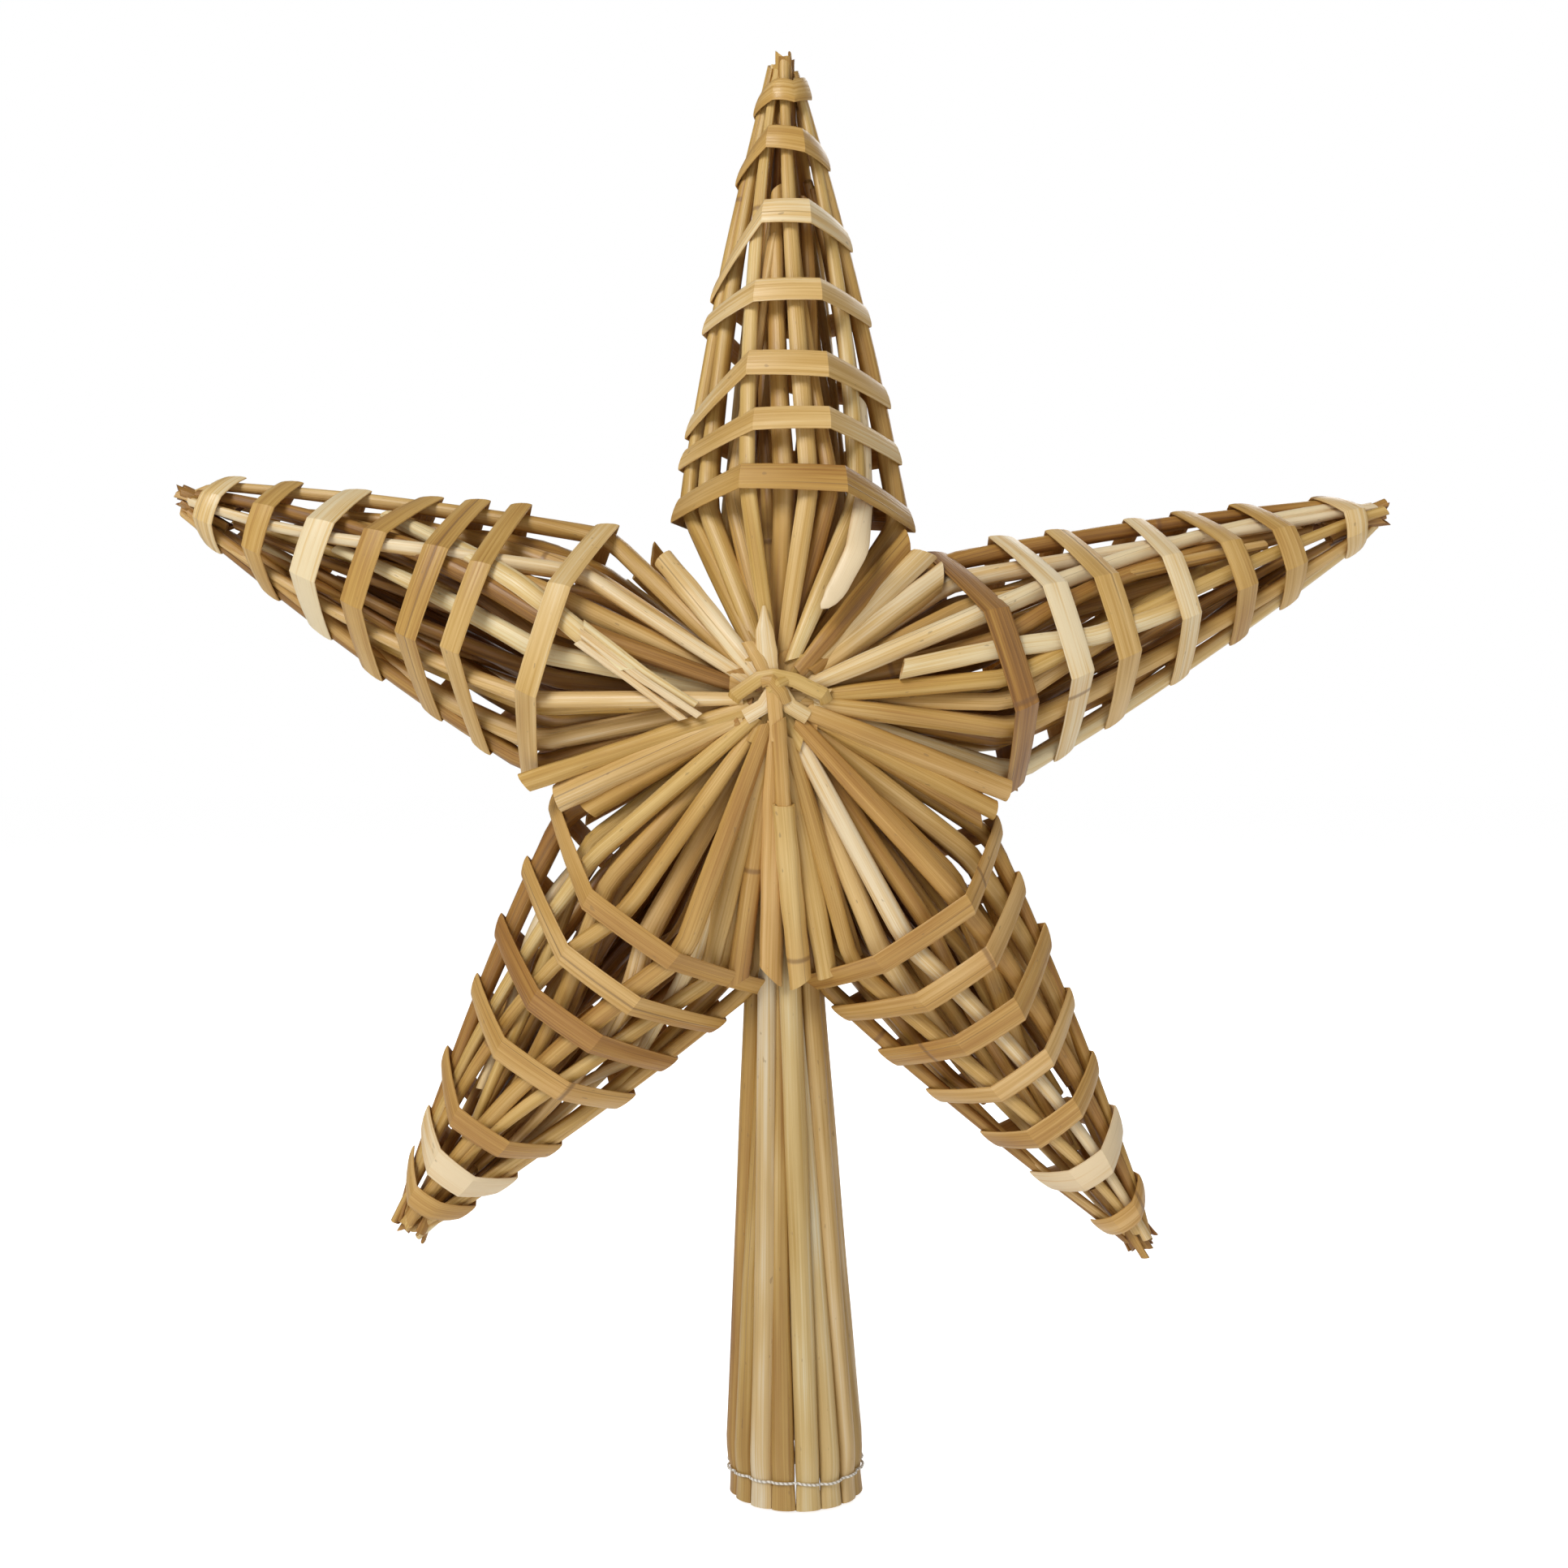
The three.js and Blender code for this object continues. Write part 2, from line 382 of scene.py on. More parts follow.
def smoothRoute(points, samples=72, rounds=3):
    # points spaced evenly along a polyline, its corners eased
    points = np.asarray(points, float)
    run = np.concatenate([[0], np.cumsum(np.linalg.norm(np.diff(points[:, :3], axis=0), axis=1))])
    steps = np.linspace(0, run[-1], samples)
    route = np.stack([np.interp(steps, run, points[:, i]) for i in range(points.shape[1])], 1)
    for _ in range(rounds):
        inner = (route[:-2] + 2 * route[1:-1] + route[2:]) / 4
        route[1:-1] = inner
    return route, run[-1]


class Bundle:      # gathers bent straws and strips, and makes them one piece

    def __init__(self, name):
        self.name = name
        self.places, self.corners, self.counts, self.maps, self.shades = [], [], [], [], []
        self.total = 0

    def take(self, stock, places, shade, length, number, start=0.0, crowd=1.0):
        self.places.append(places)
        self.corners.append(stock["corners"] + self.total)
        self.counts.append(stock["counts"])
        rise = np.clip(stock["places"][:, 2], 0, 1) ** crowd
        along = rise[stock["corners"]] * length + start
        self.maps.append(np.stack([number + 0.01 + stock["turns"] * strawSet["seam"], along * mm], 1))
        self.shades.append(np.full(len(places), shade) if np.isscalar(shade) else shade)
        self.total += len(places)

    def straw(self, points, shade, wobble=0.05, samples=72, crowd=1.0, slanted=True):
        # points: x, y, z, outward x, y, z, half width, half thickness
        # crowd above 1 draws the rings of the mesh towards the start
        route, length = smoothRoute(points, samples)
        number = rng.randrange(1, 900)
        steps = np.linspace(0, 1, len(route))
        stock = strawStock["places"].copy()
        stock[:, 2] = np.clip(stock[:, 2], 0, 1) ** crowd
        at = np.stack([np.interp(stock[:, 2], steps, route[:, i]) for i in range(8)], 1)
        slopes = np.gradient(route[:, :3], axis=0)
        along = unit(np.stack([np.interp(stock[:, 2], steps, slopes[:, i]) for i in range(3)], 1))
        outward = unit(at[:, 3:6])
        across = unit(np.cross(outward, along))
        outward = np.cross(along, across)
        angle = np.arctan2(stock[:, 0], stock[:, 1])
        phase = rng.uniform(0, 6)
        rise = stock[:, 2]
        ripples = np.sin(3 * angle + phase + 4 * rise) + 0.8 * np.sin(2 * angle - phase + 3 * rise)
        swells = 0.8 * np.sin(7 * rise + phase) + 0.5 * np.sin(23 * rise - phase)
        lump = 1 + wobble * (ripples + swells)
        places = at[:, :3] + across * (stock[:, 0] * at[:, 6] * lump)[:, None] \
            + outward * (stock[:, 1] * at[:, 7] * lump)[:, None]
        if slanted:
            farEnd = np.clip((rise - 1) / strawSet["cutEnd"] + 1, 0, 1)
            nearEnd = np.clip(1 - rise / strawSet["cutEnd"], 0, 1)
            slant = spread(1.0) * farEnd + spread(1.0) * nearEnd
            places += along * (slant * stock[:, 0] * at[:, 6])[:, None]
        self.take(strawStock, places, shade, length, number, crowd=crowd)

    def span(self, a, b, shade, number, start, sag=0.0):
        # one flat run of a strip between two folds: place, across, outward, half width, half thick
        stock = spanStock["places"]
        f = stock[:, 2][:, None]
        place = mix(a[0], b[0], f)
        across = mix(a[1], b[1], f)
        outward = mix(a[2], b[2], f)
        width = mix(a[3], b[3], f[:, 0])
        thick = mix(a[4], b[4], f[:, 0])
        x, y = stock[:, 0], stock[:, 1]
        flatX = np.sign(x) * np.abs(x) ** spanSet["squareness"][0]
        flatY = np.sign(y) * np.abs(y) ** spanSet["squareness"][1]
        crown = spanSet["crown"] * (1 - flatX ** 2)
        bow = sag * np.sin(math.pi * f[:, 0])
        places = place + across * (flatX * width)[:, None] \
            + outward * (flatY * thick + crown + bow)[:, None]
        length = float(np.linalg.norm(b[0] - a[0]))
        self.take(spanStock, places, shade, length, number, start)
        return start + length

    def make(self, material, smooth=40, weld=False):
        mesh = bpy.data.meshes.new(self.name)
        places = np.concatenate(self.places) * mm
        corners = np.concatenate(self.corners)
        counts = np.concatenate(self.counts)
        mesh.vertices.add(len(places))
        mesh.vertices.foreach_set("co", places.ravel())
        mesh.loops.add(len(corners))
        mesh.loops.foreach_set("vertex_index", corners)
        mesh.polygons.add(len(counts))
        mesh.polygons.foreach_set("loop_start", np.concatenate([[0], np.cumsum(counts)[:-1]]))
        layer = mesh.uv_layers.new(name="strawMap")
        layer.data.foreach_set("uv", np.concatenate(self.maps).ravel())
        shades = mesh.attributes.new("shade", "FLOAT", "POINT")
        shades.data.foreach_set("value", np.concatenate(self.shades))
        mesh.update(calc_edges=True)
        mesh.validate()
        ob = bpy.data.objects.new(self.name, mesh)
        scene.collection.objects.link(ob)
        mesh.materials.append(material)
        deselectAll()
        ob.select_set(True)
        bpy.context.view_layer.objects.active = ob
        if weld:
            bpy.ops.object.mode_set(mode="EDIT")
            bpy.ops.mesh.select_all(action="SELECT")
            bpy.ops.mesh.remove_doubles(threshold=0.00002)
            bpy.ops.mesh.select_mode(type="EDGE")
            bpy.ops.mesh.select_all(action="DESELECT")
            bpy.ops.mesh.select_non_manifold()
            bpy.ops.mesh.fill_holes(sides=0)
            bpy.ops.object.mode_set(mode="OBJECT")
        bpy.ops.object.shade_smooth_by_angle(angle=math.radians(smooth))
        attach(ob, "root")
        return ob


# the star's frame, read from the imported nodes
low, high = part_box("front_tie")
hub = np.array([(low[0] + high[0]) / 2, 0, (low[2] + high[2]) / 2]) / mm


def armFromFrame(name):
    # an arm's direction, its length, and how far its middle lies to the side at the mouth
    stalks = [nodeVerts(f"{name}_arm_stalk_{i}") - hub for i in range(1, 8)]
    tips = []
    for places in stalks:
        away = np.linalg.norm(places, axis=1)
        tips.append(places[away > away.max() - 1.0].mean(axis=0))
    tip = np.mean(tips, axis=0)
    length = math.hypot(tip[0], tip[2])
    along = np.array([tip[0], 0, tip[2]]) / length
    side = np.array([along[2], 0, -along[0]])
    places = np.concatenate(stalks)
    reach = places @ along
    atMouth = (reach > 0.2 * length) & (reach < 0.5 * length)
    return dict(along=along, side=side, length=length, bow=float((places[atMouth] @ side).mean()))


back = np.array([0.0, 1.0, 0.0])

# Each turn of an arm's winding: its reach at the front, at the left, at the right, and its shade
# from pale 0 to tan 1
armSet = {
    "top": [
        (39.5, 35.9, 34.3, 0.50), (50.5, 45.5, 47.0, 0.22), (61.0, 51.3, 57.8, 0.30),
        (75.0, 71.5, 73.5, 0.12), (90.3, 77.0, 88.0, 0.10), (105.5, 100.2, 103.5, 0.45),
        (115.6, 114.0, 117.5, 0.52)],
    "left": [
        (43.3, 38.8, 41.0, 0.28), (59.0, 49.1, 58.0, 0.45), (67.5, 60.5, 66.0, 0.50),
        (79.4, 74.0, 74.4, 0.48), (90.6, 86.0, 88.3, 0.02), (102.0, 97.5, 101.0, 0.55),
        (113.2, 111.3, 111.6, 0.10)],
    "right": [
        (42.1, 36.5, 37.4, 0.78), (54.0, 49.5, 48.2, 0.12), (63.9, 60.0, 59.3, 0.30),
        (76.6, 75.0, 73.8, 0.14), (88.9, 84.0, 87.2, 0.45), (99.7, 95.0, 98.6, 0.42),
        (114.0, 110.7, 113.6, 0.12)],
    "lower_left": [
        (48.9, 44.6, 38.6, 0.50), (59.9, 56.0, 51.8, 0.45), (70.3, 67.5, 64.0, 0.72),
        (81.3, 77.9, 76.0, 0.45), (97.2, 93.6, 90.5, 0.50), (107.3, 104.3, 102.5, 0.04),
        (115.4, 113.0, 109.9, 0.50)],
    "lower_right": [
        (49.8, 42.0, 46.5, 0.48), (60.1, 53.4, 54.6, 0.40), (71.2, 64.5, 66.9, 0.45),
        (82.5, 77.0, 77.7, 0.32), (93.3, 90.0, 90.7, 0.48), (105.8, 101.5, 103.0, 0.04),
        (117.4, 114.4, 116.9, 0.45)],
}
# How each arm departs from an even cone: its width, its shift to the side at the mouth, how far its
# stalks turn on the way to the tip, which way the outer ones turn (0 for either), and the turns that
# stand off the stalks at one side
armFit = {
    "top": dict(wide=0.89, aside=0.7, twist=(6, 34), lay=0, loft={}),
    "left": dict(wide=1.05, aside=2.4, twist=(15, 50), lay=0, loft={(1, 1): 0.9, (2, 1): 0.6}),
    "right": dict(wide=0.95, aside=-0.2, twist=(15, 50), lay=0, loft={(1, -1): 0.6}),
    "lower_left": dict(wide=1.13, aside=-1.9, twist=(30, 70), lay=1, loft={}),
    "lower_right": dict(wide=1.01, aside=0.7, twist=(25, 60), lay=-1, loft={}),
}
arms = {name: dict(armFromFrame(name), **armFit[name], bands=armSet[name]) for name in armNames}

coneSet = dict(mouth=37.0, mouthRadius=25.6, tip=116.0, tipRadius=5.4, bulge=1.2)


def coneRadius(reach):
    # radius of an arm's corners at a reach from the hub
    share = np.clip((reach - coneSet["mouth"]) / (coneSet["tip"] - coneSet["mouth"]), -0.1, 1.05)
    swell = coneSet["bulge"] * np.sin(math.pi * np.clip(share, 0, 1))
    return mix(coneSet["mouthRadius"], coneSet["tipRadius"], share) + swell


def onArmFront(arm, reach, aside, depth):
    # a place on an arm: aside across it and depth towards its front, from its middle
    return hub + arm["along"] * reach + arm["side"] * aside - back * depth


def onArm(arm, reach, angle, radius):
    # a place on an arm: angle in degrees round it from the front towards its side
    share = np.clip((reach - coneSet["mouth"]) / (coneSet["tip"] - coneSet["mouth"]), 0, 1)
    turn = math.radians(angle)
    aside = mix(arm["bow"] + arm["aside"], 0, share) + arm["wide"] * radius * math.sin(turn)
    return onArmFront(arm, reach, aside, radius * math.cos(turn))


def awayFrom(arm, angle):
    turn = math.radians(angle)
    return arm["side"] * math.sin(turn) - back * math.cos(turn)


# arm stalks
# The strip folds at these angles round an arm, at this share of the arm's radius
outerFold = 81
windFolds = [(-157, 1.0), (-outerFold, 0.98), (-23, 1.0), (23, 1.0), (outerFold, 0.98), (157, 1.0)]

# hubDepth and drop go by the layer a stalk lies in, drop being how far it lies under the strip.
# ringEnd is the reach where the stalks leave the cone for their cut ends. form: half width and half
# thickness at the hub, halfway, at the mouth, along the arm and at the end, as shares
stalkSet = dict(
    count=20, jitter=4.0, hubDepth=(22.9, 21.6, 17.6), hubReach=(4.0, 8.0), drop=(0.0, 0.5, 3.0),
    mouthHalf=1.9, tipHalf=1.0, ringEnd=115, endRadius=(0.8, 2.9),
    inner=12, innerJitter=14, innerRing=(0.34, 0.68), innerTwist=(25, 75),
    form=dict(hub=(0.68, 0.42), knee=(0.92, 0.72), mouth=(1.0, 0.9), arm=(1.0, 0.94), end=(1.05, 0.7)),
)
# held: reach and radius where the short ends at the tip are held by the last turn
tuftSet = dict(count=10, held=((110.0, 2.4), (117.0, 1.8)), splay=(0.8, 3.2), halfWidth=(0.8, 1.25))


def chord(angle):
    # the strip runs straight from fold to fold, so between them it lies nearer the arm's middle
    angle = (angle + 180) % 360 - 180
    ring = [(windFolds[-1][0] - 360, windFolds[-1][1]), *windFolds,
            (windFolds[0][0] + 360, windFolds[0][1])]
    for (first, near), (second, far) in zip(ring[:-1], ring[1:]):
        if first <= angle <= second:
            a, b = math.radians(angle - first), math.radians(second - angle)
            return near * far * math.sin(a + b) / (near * math.sin(a) + far * math.sin(b))


def underStrip(reach, angle, half, drop=0.0):
    # radius of the middle of a straw that lies under the strip
    return float(coneRadius(reach)) * chord(angle) - (half + windSet["halfThick"]) * 1.08 - drop


def stalkPoint(place, outward, half, part):
    wide, thick = stalkSet["form"][part]
    return (*place, *outward, half * wide, half * thick)


def stalkPoints(arm, mouthAngle, tipAngle, layer, stop, size, inward=1.0):
    front = math.cos(math.radians(mouthAngle)) > 0
    facing = -back if front else back
    turns = mouthAngle / 360 if front else (mouthAngle - math.copysign(180, mouthAngle)) / 360
    mouth = bandReach(arm["bands"], turns) + spread(0.8)
    half = stalkSet["mouthHalf"] * size
    drop = stalkSet["drop"][layer]
    rim = onArm(arm, mouth, mouthAngle, underStrip(mouth, mouthAngle, half, drop) * inward)
    flat = rim - hub
    flat[1] = 0
    start = hub + unit(flat) * rng.uniform(*stalkSet["hubReach"]) \
        + facing * (stalkSet["hubDepth"][layer] + spread(0.4)) * inward
    knee = mix(start, rim, 0.35) + facing * 0.3
    points = [stalkPoint(start, facing, half, "hub"), stalkPoint(knee, facing, half, "knee"),
              stalkPoint(rim, unit(awayFrom(arm, mouthAngle) + facing), half, "mouth")]
    last = min(stop, stalkSet["ringEnd"])
    for share in (0.2, 0.4, 0.6, 0.8, 1.0):
        reach = mix(mouth, last, share)
        angle = mix(mouthAngle, tipAngle, share)
        thin = mix(stalkSet["mouthHalf"], stalkSet["tipHalf"], share ** 1.3) * size
        radius = max(underStrip(reach, angle, thin, drop) * inward, 0.4)
        points.append(stalkPoint(onArm(arm, reach, angle, radius), awayFrom(arm, angle), thin, "arm"))
    if stop > stalkSet["ringEnd"]:
        end = onArm(arm, stop, tipAngle, rng.uniform(*stalkSet["endRadius"]))
        points.append(stalkPoint(end, awayFrom(arm, tipAngle), stalkSet["tipHalf"] * size, "end"))
    return points


def stalkShade():
    # most straws are golden, some bleached and some deep amber
    kind = rng.random()
    if kind < 0.14:
        return rng.uniform(0.0, 0.12)
    if kind > 0.84:
        return rng.uniform(0.62, 0.85)
    return min(max(rng.gauss(0.38, 0.12), 0.1), 0.65)


def addTuft(bundle, arm):
    # short split ends beyond the last turn
    for _ in range(tuftSet["count"]):
        angle = rng.uniform(-180, 180)
        wide = rng.uniform(*tuftSet["halfWidth"])
        stop = arm["length"] + rng.uniform(-2.5, 1.8)
        points = []
        for reach, radius in (*tuftSet["held"], (stop, rng.uniform(*tuftSet["splay"]))):
            points.append((*onArm(arm, reach, angle, radius), *awayFrom(arm, angle), wide, wide * 0.45))
        bundle.straw(points, rng.uniform(0.45, 0.9), wobble=0.08)


strawMaterial = strawFinish("wholeStraw", gloss=0.38, coat=0.08)
stripMaterial = strawFinish("flattenedStraw", gloss=0.32, coat=0.12, fibre=1.2, joints=0.15)
socketMaterial = strawFinish("socketStraw", gloss=0.42, coat=0.06, fibre=0.8, joints=0.0,
                             wash=(0.86, 0.90, 1.0, 1))


def addStalks(name):
    arm = arms[name]
    bundle = Bundle(f"{name}_arm_stalks")
    count = stalkSet["count"]
    for i in range(count):
        mouthAngle = (i + 0.5) * 360 / count - 180 + spread(stalkSet["jitter"])
        layer = 2 if i % 2 else i // 2 % 2
        way = (arm["lay"] if layer < 2 else -arm["lay"]) or rng.choice((-1, 1))
        tipAngle = mouthAngle + way * rng.uniform(*arm["twist"])
        # a straw fills each outer corner of the strip
        inCorner = abs(abs(mouthAngle) - outerFold) < 180 / count
        if inCorner:
            layer, mouthAngle = 0, math.copysign(outerFold, mouthAngle)
            tipAngle = mouthAngle
        reachesTip = i % 2 == 0 or inCorner
        stop = arm["length"] - rng.uniform(-0.5, 3.2) if reachesTip else rng.uniform(84, 106)
        points = stalkPoints(arm, mouthAngle, tipAngle, layer, stop, rng.uniform(0.82, 1.12))
        bundle.straw(points, stalkShade())
    # straws inside the arm, which cross it and close it to the light
    for i in range(stalkSet["inner"]):
        mouthAngle = (i + 0.5) * 360 / stalkSet["inner"] - 180 + spread(stalkSet["innerJitter"])
        tipAngle = mouthAngle + rng.choice((-1, 1)) * rng.uniform(*stalkSet["innerTwist"])
        points = stalkPoints(arm, mouthAngle, tipAngle, i % 3, rng.uniform(82, 112),
                             rng.uniform(0.8, 1.05), rng.uniform(*stalkSet["innerRing"]))
        # painted shade: these inner straws get darker shades so the gaps inside the arm look shadowed
        bundle.straw(points, rng.uniform(0.45, 0.85))
    addTuft(bundle, arm)
    ob = bundle.make(strawMaterial)
    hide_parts(*(f"{name}_arm_stalk_{i}" for i in range(1, 8)))


# Bleached straws broken off short of the hub. free: reach, place to the side, depth and half width
# where it hangs free; held: reach and angle where it lies under the strip
tornSet = [
    dict(arm="left", shade=0.05, thick=0.8, free=[(27, -4.0, 22.4, 1.9)],
         held=[(43, 14, 1.9), (51, 21, 1.9), (60, 30, 1.9), (70, 43, 1.8), (80, 60, 1.7)]),
    dict(arm="left", shade=0.09, thick=0.7, free=[(14.6, -9.0, 23.5, 0.7), (25, -5.6, 23.3, 0.72)],
         held=[(37, 4, 0.7)]),
    dict(arm="left", shade=0.04, thick=0.7, free=[(12.0, -7.4, 24.0, 0.7), (24, -4.5, 23.6, 0.72)],
         held=[(37, 8, 0.7)]),
    dict(arm="left", shade=0.12, thick=0.7, free=[(13.2, -5.7, 23.5, 0.7), (24, -3.1, 23.2, 0.72)],
         held=[(37, 12, 0.7)]),
    dict(arm="right", shade=0.12, thick=0.8, free=[(23.0, 1.7, 22.6, 1.7)],
         held=[(42, -4, 1.8), (58, 8, 1.75), (68, 12, 1.7), (78, 14, 1.5)]),
    dict(arm="top", shade=0.0, thick=0.4,
         free=[(16.4, 7.6, 25.2, 0.4), (17.4, 8.8, 24.9, 1.5), (19.5, 10.4, 24.0, 2.0),
               (27, 14.0, 22.4, 2.1)],
         held=[(39, 46, 2.0), (47, 52, 1.9), (56, 56, 1.8)]),
]


def addTornStalks():
    bundle = Bundle("torn_stalks")
    for torn in tornSet:
        arm = arms[torn["arm"]]
        points = []
        for reach, aside, depth, half in torn["free"]:
            points.append((*onArmFront(arm, reach, aside, depth), 0, -1, 0, half, half * torn["thick"]))
        for reach, angle, half in torn["held"]:
            place = onArm(arm, reach, angle, underStrip(reach, angle, half * torn["thick"]))
            points.append((*place, *awayFrom(arm, angle), half, half * torn["thick"]))
        bundle.straw(points, torn["shade"])
    ob = bundle.make(strawMaterial)


# hub: fan straws and ties
# Straws that end in the valleys between the arms: angle, reach, half width, shade
fanSet = [
    (51.0, 39.0, 2.0, 0.42), (45.2, 38.0, 2.3, 0.16), (37.3, 38.5, 2.5, 0.0), (-21.1, 45.5, 2.2, 0.26),
    (-26.4, 45.0, 1.9, 0.48), (-29.6, 43.0, 1.7, 0.40), (197.7, 48.5, 2.0, 0.32),
    (203.6, 44.5, 2.8, 0.20), (209.5, 41.0, 2.2, 0.34), (128.6, 34.0, 2.1, 0.18),
    (-104.5, 50.5, 2.2, 0.24), (-98.1, 52.0, 2.1, 0.52), (-91.4, 51.0, 2.3, 0.36),
    (-79.4, 51.5, 2.1, 0.34), (-73.5, 49.5, 2.0, 0.30),
]
fanDepth = dict(hub=23.4, valley=10.5, layer=0.8, slim=0.96)


def hubPlace(x, z, depth, facing=-1):
    return hub + np.array([x, facing * depth, z])


def addFans(side):
    bundle = Bundle("front_fan_straws" if side < 0 else "back_fan_straws")
    for i, (angle, reach, width, shade) in enumerate(fanSet):
        turn = math.radians(angle if side < 0 else 180 - angle + 0.4)
        way = np.array([math.cos(turn), 0, math.sin(turn)])
        facing = back * side
        near, far = rng.uniform(3.5, 6.5), reach + spread(0.8)
        depth = fanDepth["hub"] - fanDepth["layer"] * (i % 3)
        points = []
        for share, thick in ((0, 0.4), (0.25, 0.7), (0.7, 0.8), (1, 0.6)):
            place = hub + way * mix(near, far, share) \
                + facing * mix(depth, fanDepth["valley"], share ** 1.25)
            wide = width * fanDepth["slim"] * mix(0.75, 1.0, min(share * 2.5, 1))
            points.append((*place, *facing, wide, wide * thick))
        bundle.straw(points, max(shade + rng.uniform(-0.06, 0.18), 0.0))
    ob = bundle.make(strawMaterial)


# Strips over the crossing, in the order they are laid: the long one, its knot, a loop, a loose end and
# two that cross. route: x, z and depth from the hub; half width and half thickness
tieSet = [
    dict(route=[(-8.2, -1.6, 21.4), (-7.4, 0.6, 24.4), (-3.0, 3.6, 25.3), (-0.5, 4.0, 25.6),
                (3.2, 3.2, 25.2), (8.3, 0.8, 24.3), (9.2, -1.2, 21.4)],
         half=1.35, thick=0.32, shade=0.46),
    dict(route=[(-2.6, 3.0, 25.4), (-1.0, 3.2, 26.1), (0.9, 1.0, 26.1), (1.6, -0.8, 25.2)],
         half=1.15, thick=0.35, shade=0.5),
    dict(route=[(1.9, 3.4, 25.3), (0.4, 2.6, 26.3), (-1.4, 1.2, 25.6)],
         half=0.95, thick=0.35, shade=0.42),
    dict(route=[(-0.6, 1.6, 25.6), (-0.2, -3.0, 25.5), (0.3, -7.5, 24.9)],
         half=1.35, thick=0.4, shade=0.34),
    dict(route=[(-0.6, 1.4, 25.0), (-2.4, -1.4, 24.8), (-5.6, -3.2, 23.6)],
         half=1.45, thick=0.3, shade=0.16),
    dict(route=[(0.6, 1.4, 25.0), (2.4, -1.4, 24.8), (5.6, -3.2, 23.6)],
         half=1.45, thick=0.3, shade=0.16),
]


def layStrip(bundle, side, route, half, thick, shade):
    number = rng.randrange(1, 900)
    folds = []
    places = [hubPlace(x, z, depth, side) for x, z, depth in route]
    for i, place in enumerate(places):
        along = unit(places[min(i + 1, len(places) - 1)] - places[max(i - 1, 0)])
        across = unit(np.cross(back * side, along))
        folds.append((place, across, np.cross(along, across), half, thick))
    start = 0.0
    for a, b in zip(folds[:-1], folds[1:]):
        start = bundle.span(a, b, shade, number, start)


def addTie(name, side):
    bundle = Bundle(f"{name}_strip")
    for laid in tieSet:
        layStrip(bundle, side, **laid)
    ob = bundle.make(stripMaterial, smooth=28, weld=True)
    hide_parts(name)


# Straws at the front of the crossing. laid: route of x, z and depth, half width and shade; crossed:
# flat straws behind the tie; shard: x, z, depth and half width of a pointed one behind the knot
hubSet = dict(
    laid=[([(0.2, -4.0, 25.2), (1.2, -19.5, 22.6)], 1.4, 0.42),
          ([(1.2, -18.8, 22.5), (2.6, -34, 17.5), (4.3, -52, 11.8)], 2.15, 0.40),
          ([(-1.2, 2.5, 24.4), (-3.2, 7.0, 24.9), (-5.0, 10.0, 24.3)], 1.25, 0.40)],
    laidFlat=0.75,
    crossed=dict(count=9, turn=20, reach=9, depth=22.6, layer=0.35, half=1.5, thick=0.5),
    shard=[(-0.4, 1.0, 24.2, 1.3), (-1.8, 8.0, 25.0, 1.9), (-2.2, 12.0, 25.0, 1.5),
           (-2.3, 16.5, 24.8, 0.3)],
    shardShade=0.22,
)


def addHubStraws():
    bundle = Bundle("hub_straws")
    for route, half, shade in hubSet["laid"]:
        thick = half * hubSet["laidFlat"]
        bundle.straw([(*hubPlace(x, z, depth), 0, -1, 0, half, thick) for x, z, depth in route], shade)
    crossed = hubSet["crossed"]
    for i in range(crossed["count"]):
        turn = math.radians(i * crossed["turn"] + spread(5))
        depth = crossed["depth"] - crossed["layer"] * (i % 3)
        points = []
        for reach in (-crossed["reach"], 0, crossed["reach"]):
            place = hubPlace(reach * math.cos(turn), reach * math.sin(turn), depth)
            points.append((*place, 0, -1, 0, crossed["half"], crossed["thick"]))
        bundle.straw(points, rng.uniform(0.15, 0.6))
    points = [(*hubPlace(x, z, depth), 0, -1, 0, half, min(half * 0.5, 0.6))
              for x, z, depth, half in hubSet["shard"]]
    bundle.straw(points, hubSet["shardShade"])
    ob = bundle.make(strawMaterial)


# windings
# start and end are in turns, from the first and the last time the strip passes the front. slope is
# the cone's, and flare is how much more the strip leans at an arm's sides, both in degrees
windSet = dict(halfWidth=2.4, halfThick=0.28, slope=15, flare=(0, 5), pale=0.06, paleWider=1.2,
               sag=0.4, start=-0.44, end=0.3)


def bandReach(bands, turns):
    # reach of the strip after some turns, whole numbers at the front
    reaches = []
    marks = []
    for i, (front, left, right, _) in enumerate(bands):
        marks += [i - 0.25, i, i + 0.25]
        reaches += [left, front, right]
    for i in range(len(bands) - 1):
        marks.append(i + 0.5)
        reaches.append((bands[i][2] + bands[i + 1][1]) / 2 + 1.0)
    marks.append(-0.5)
    reaches.append(bands[0][1] - 2)
    order = np.argsort(marks)
    return float(np.interp(turns, np.array(marks)[order], np.array(reaches)[order]))


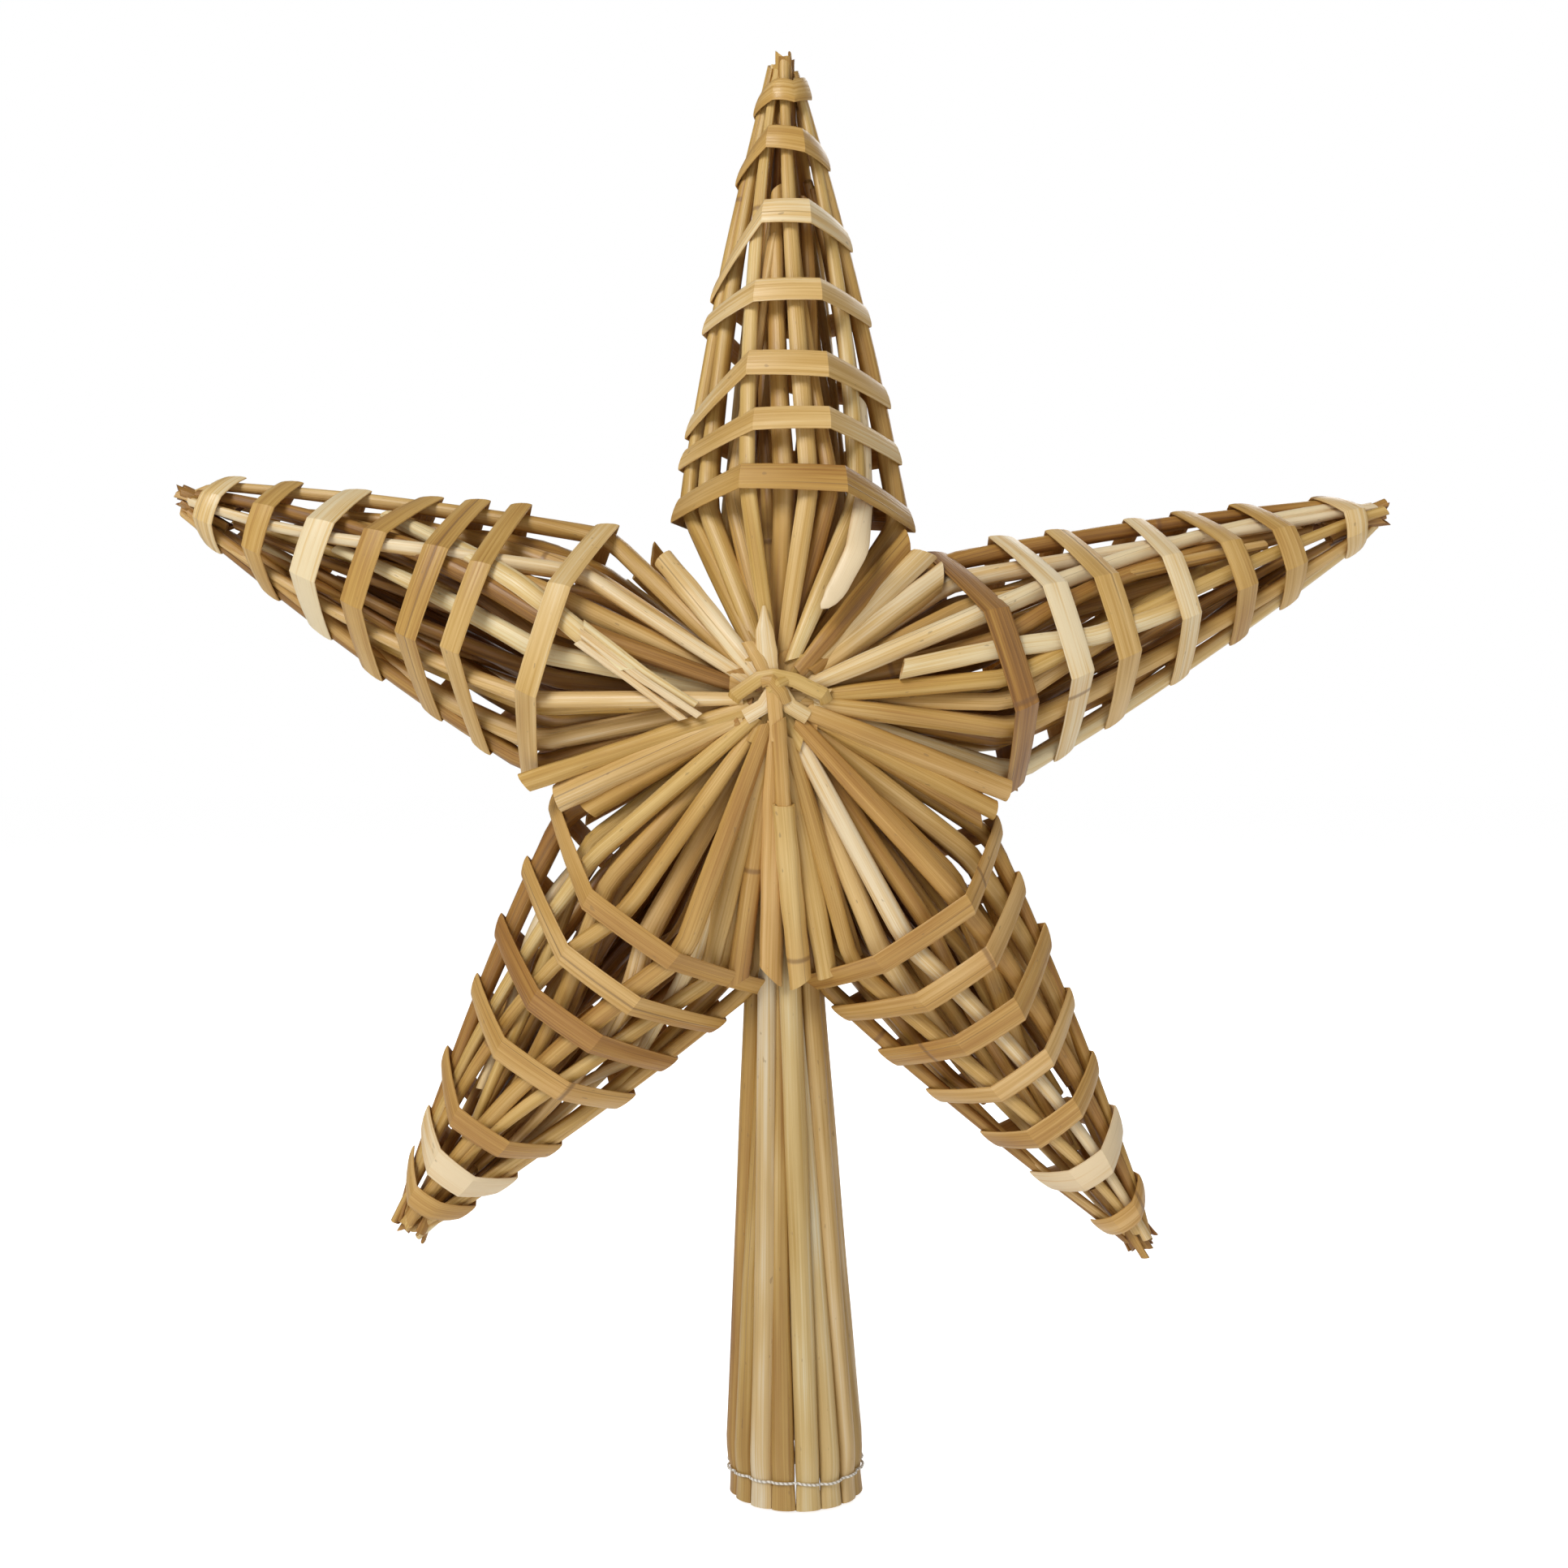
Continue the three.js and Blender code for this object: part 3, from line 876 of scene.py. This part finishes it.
def addWinding(name):
    arm = arms[name]
    bands = arm["bands"]
    bundle = Bundle(f"{name}_arm_woven_strip")
    widths = []
    for *_, shade in bands:
        wider = windSet["paleWider"] if shade < windSet["pale"] else rng.uniform(0.86, 1.08)
        widths.append(windSet["halfWidth"] * wider)
    folds = []
    for turn in range(len(bands)):
        for fold, share in windFolds:
            turns = turn + fold / 360
            if turns < windSet["start"] or turns > len(bands) - 1 + windSet["end"]:
                continue
            front = abs(fold) < 30
            angle = fold + spread(4 if front else 2)
            reach = bands[turn][0] + spread(0.4) if front else bandReach(bands, turns)
            side = abs(math.sin(math.radians(angle)))
            loft = 0.0
            if abs(fold) == outerFold:
                loft = arm["loft"].get((turn, round(math.copysign(1, fold))), 0.0)
            radius = float(coneRadius(reach)) * share + spread(0.3) + loft
            flare = mix(*windSet["flare"], side ** 3) * rng.uniform(0.6, 1.1)
            flare = math.radians(windSet["slope"] + flare)
            away = awayFrom(arm, angle)
            across = away * math.sin(flare) - arm["along"] * math.cos(flare)
            outward = away * math.cos(flare) + arm["along"] * math.sin(flare)
            width = widths[turn] * rng.uniform(0.94, 1.05)
            folds.append((onArm(arm, reach, angle, radius), across, outward, width,
                          windSet["halfThick"], bands[turn][3]))
    number = rng.randrange(1, 900)
    start = 0.0
    for a, b in zip(folds[:-1], folds[1:]):
        shade = mix(a[5], b[5], spanStock["places"][:, 2])
        start = bundle.span(a, b, shade, number, start, windSet["sag"])
    ob = bundle.make(stripMaterial, smooth=28, weld=True)
    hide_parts(f"{name}_arm_winding")


# socket
# Every other straw lies on the inner ring at the neck. form: a straw along its height, with shares of
# its half width and of its half thickness
socketSet = dict(
    straws=16, rim=11.7, neck=96.0, neckOuter=5.7, neckInner=3.9,
    halfWidth=2.3, neckHalfOuter=2.0, neckHalfInner=1.5, drift=0.5, shade=(0.32, 0.16),
    form=[(0.0, 1.03, 0.46), (3.6, 1.0, 0.46), (4.9, 0.93, 0.52), (6.6, 1.0, 0.82),
          (10.0, 1.0, 0.97), (40.0, 0.96, 0.95), (96.0, 1.0, 1.0), (128.0, 0.95, 0.95)],
)
threadSet = dict(height=5.0, radius=0.24, segments=256, sides=10, clear=1.55, dip=0.55)


def socketAxis(height):
    return np.array([hub[0] * height / hub[2], 0, height])


def addSocket():
    bundle = Bundle("socket_straws")
    for i in range(socketSet["straws"]):
        turn = (i + 0.5) * 2 * math.pi / socketSet["straws"]
        out = np.array([math.cos(turn), math.sin(turn), 0])
        inner = i % 2 == 1
        neckRing = socketSet["neckInner"] if inner else socketSet["neckOuter"]
        neckHalf = socketSet["neckHalfInner"] if inner else socketSet["neckHalfOuter"]
        size = rng.uniform(0.93, 1.03)
        drift = spread(socketSet["drift"])
        side = np.array([-out[1], out[0], 0])
        points = []
        for height, wide, thick in socketSet["form"]:
            share = min(height / socketSet["neck"], 1.1)
            ring = mix(socketSet["rim"], neckRing, share) + (spread(0.15) if height > 10 else 0)
            half = mix(socketSet["halfWidth"], neckHalf, share) * size
            place = socketAxis(height) + out * ring + side * drift * math.sin(math.pi * min(share, 1))
            points.append((*place, *out, half * wide, half * thick))
        shade = min(max(rng.gauss(*socketSet["shade"]), 0.05), 0.66)
        bundle.straw(points, shade, wobble=0.03, samples=260, crowd=1.7, slanted=False)
    ob = bundle.make(socketMaterial)
    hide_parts(*(f"socket_straw_{i}" for i in range(1, 17)))


def addThread():
    # one turn of thread drawn in between the straws
    height = threadSet["height"]
    ring = mix(socketSet["rim"], socketSet["neckOuter"], height / socketSet["neck"]) + threadSet["clear"]
    deselectAll()
    bpy.ops.mesh.primitive_torus_add(major_segments=threadSet["segments"],
                                     minor_segments=threadSet["sides"], major_radius=ring * mm,
                                     minor_radius=threadSet["radius"] * mm,
                                     location=[v * mm for v in socketAxis(height)])
    ob = bpy.context.object
    bpy.ops.object.transform_apply(location=True, rotation=False, scale=False)
    ob.name = "socket_stitched_thread"
    centre = socketAxis(height) * mm
    # the thread dips between the straws and waves a little
    for vert in ob.data.vertices:
        out = vert.co - type(vert.co)(centre)
        turn = math.atan2(out.y, out.x)
        between = abs(math.cos(turn * socketSet["straws"] / 2)) ** 6
        sway = 0.25 * math.sin(turn * 3 + 1) + 0.12 * math.sin(turn * 7)
        pull = 1 - between * threadSet["dip"] / ring
        vert.co = (centre[0] + out.x * pull, centre[1] + out.y * pull, vert.co.z + sway * mm)
    ob.data.materials.append(threadFinish("whiteThread"))
    bpy.ops.object.shade_smooth()
    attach(ob, "root")
    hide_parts("socket_thread")


for name in armNames:
    addStalks(name)
    addWinding(name)
print("arms woven")
addFans(-1)
addFans(1)
addTie("front_tie", -1)
addTie("back_tie", 1)
addHubStraws()
addTornStalks()
print("hub tied")
addSocket()
addThread()
print("socket made")
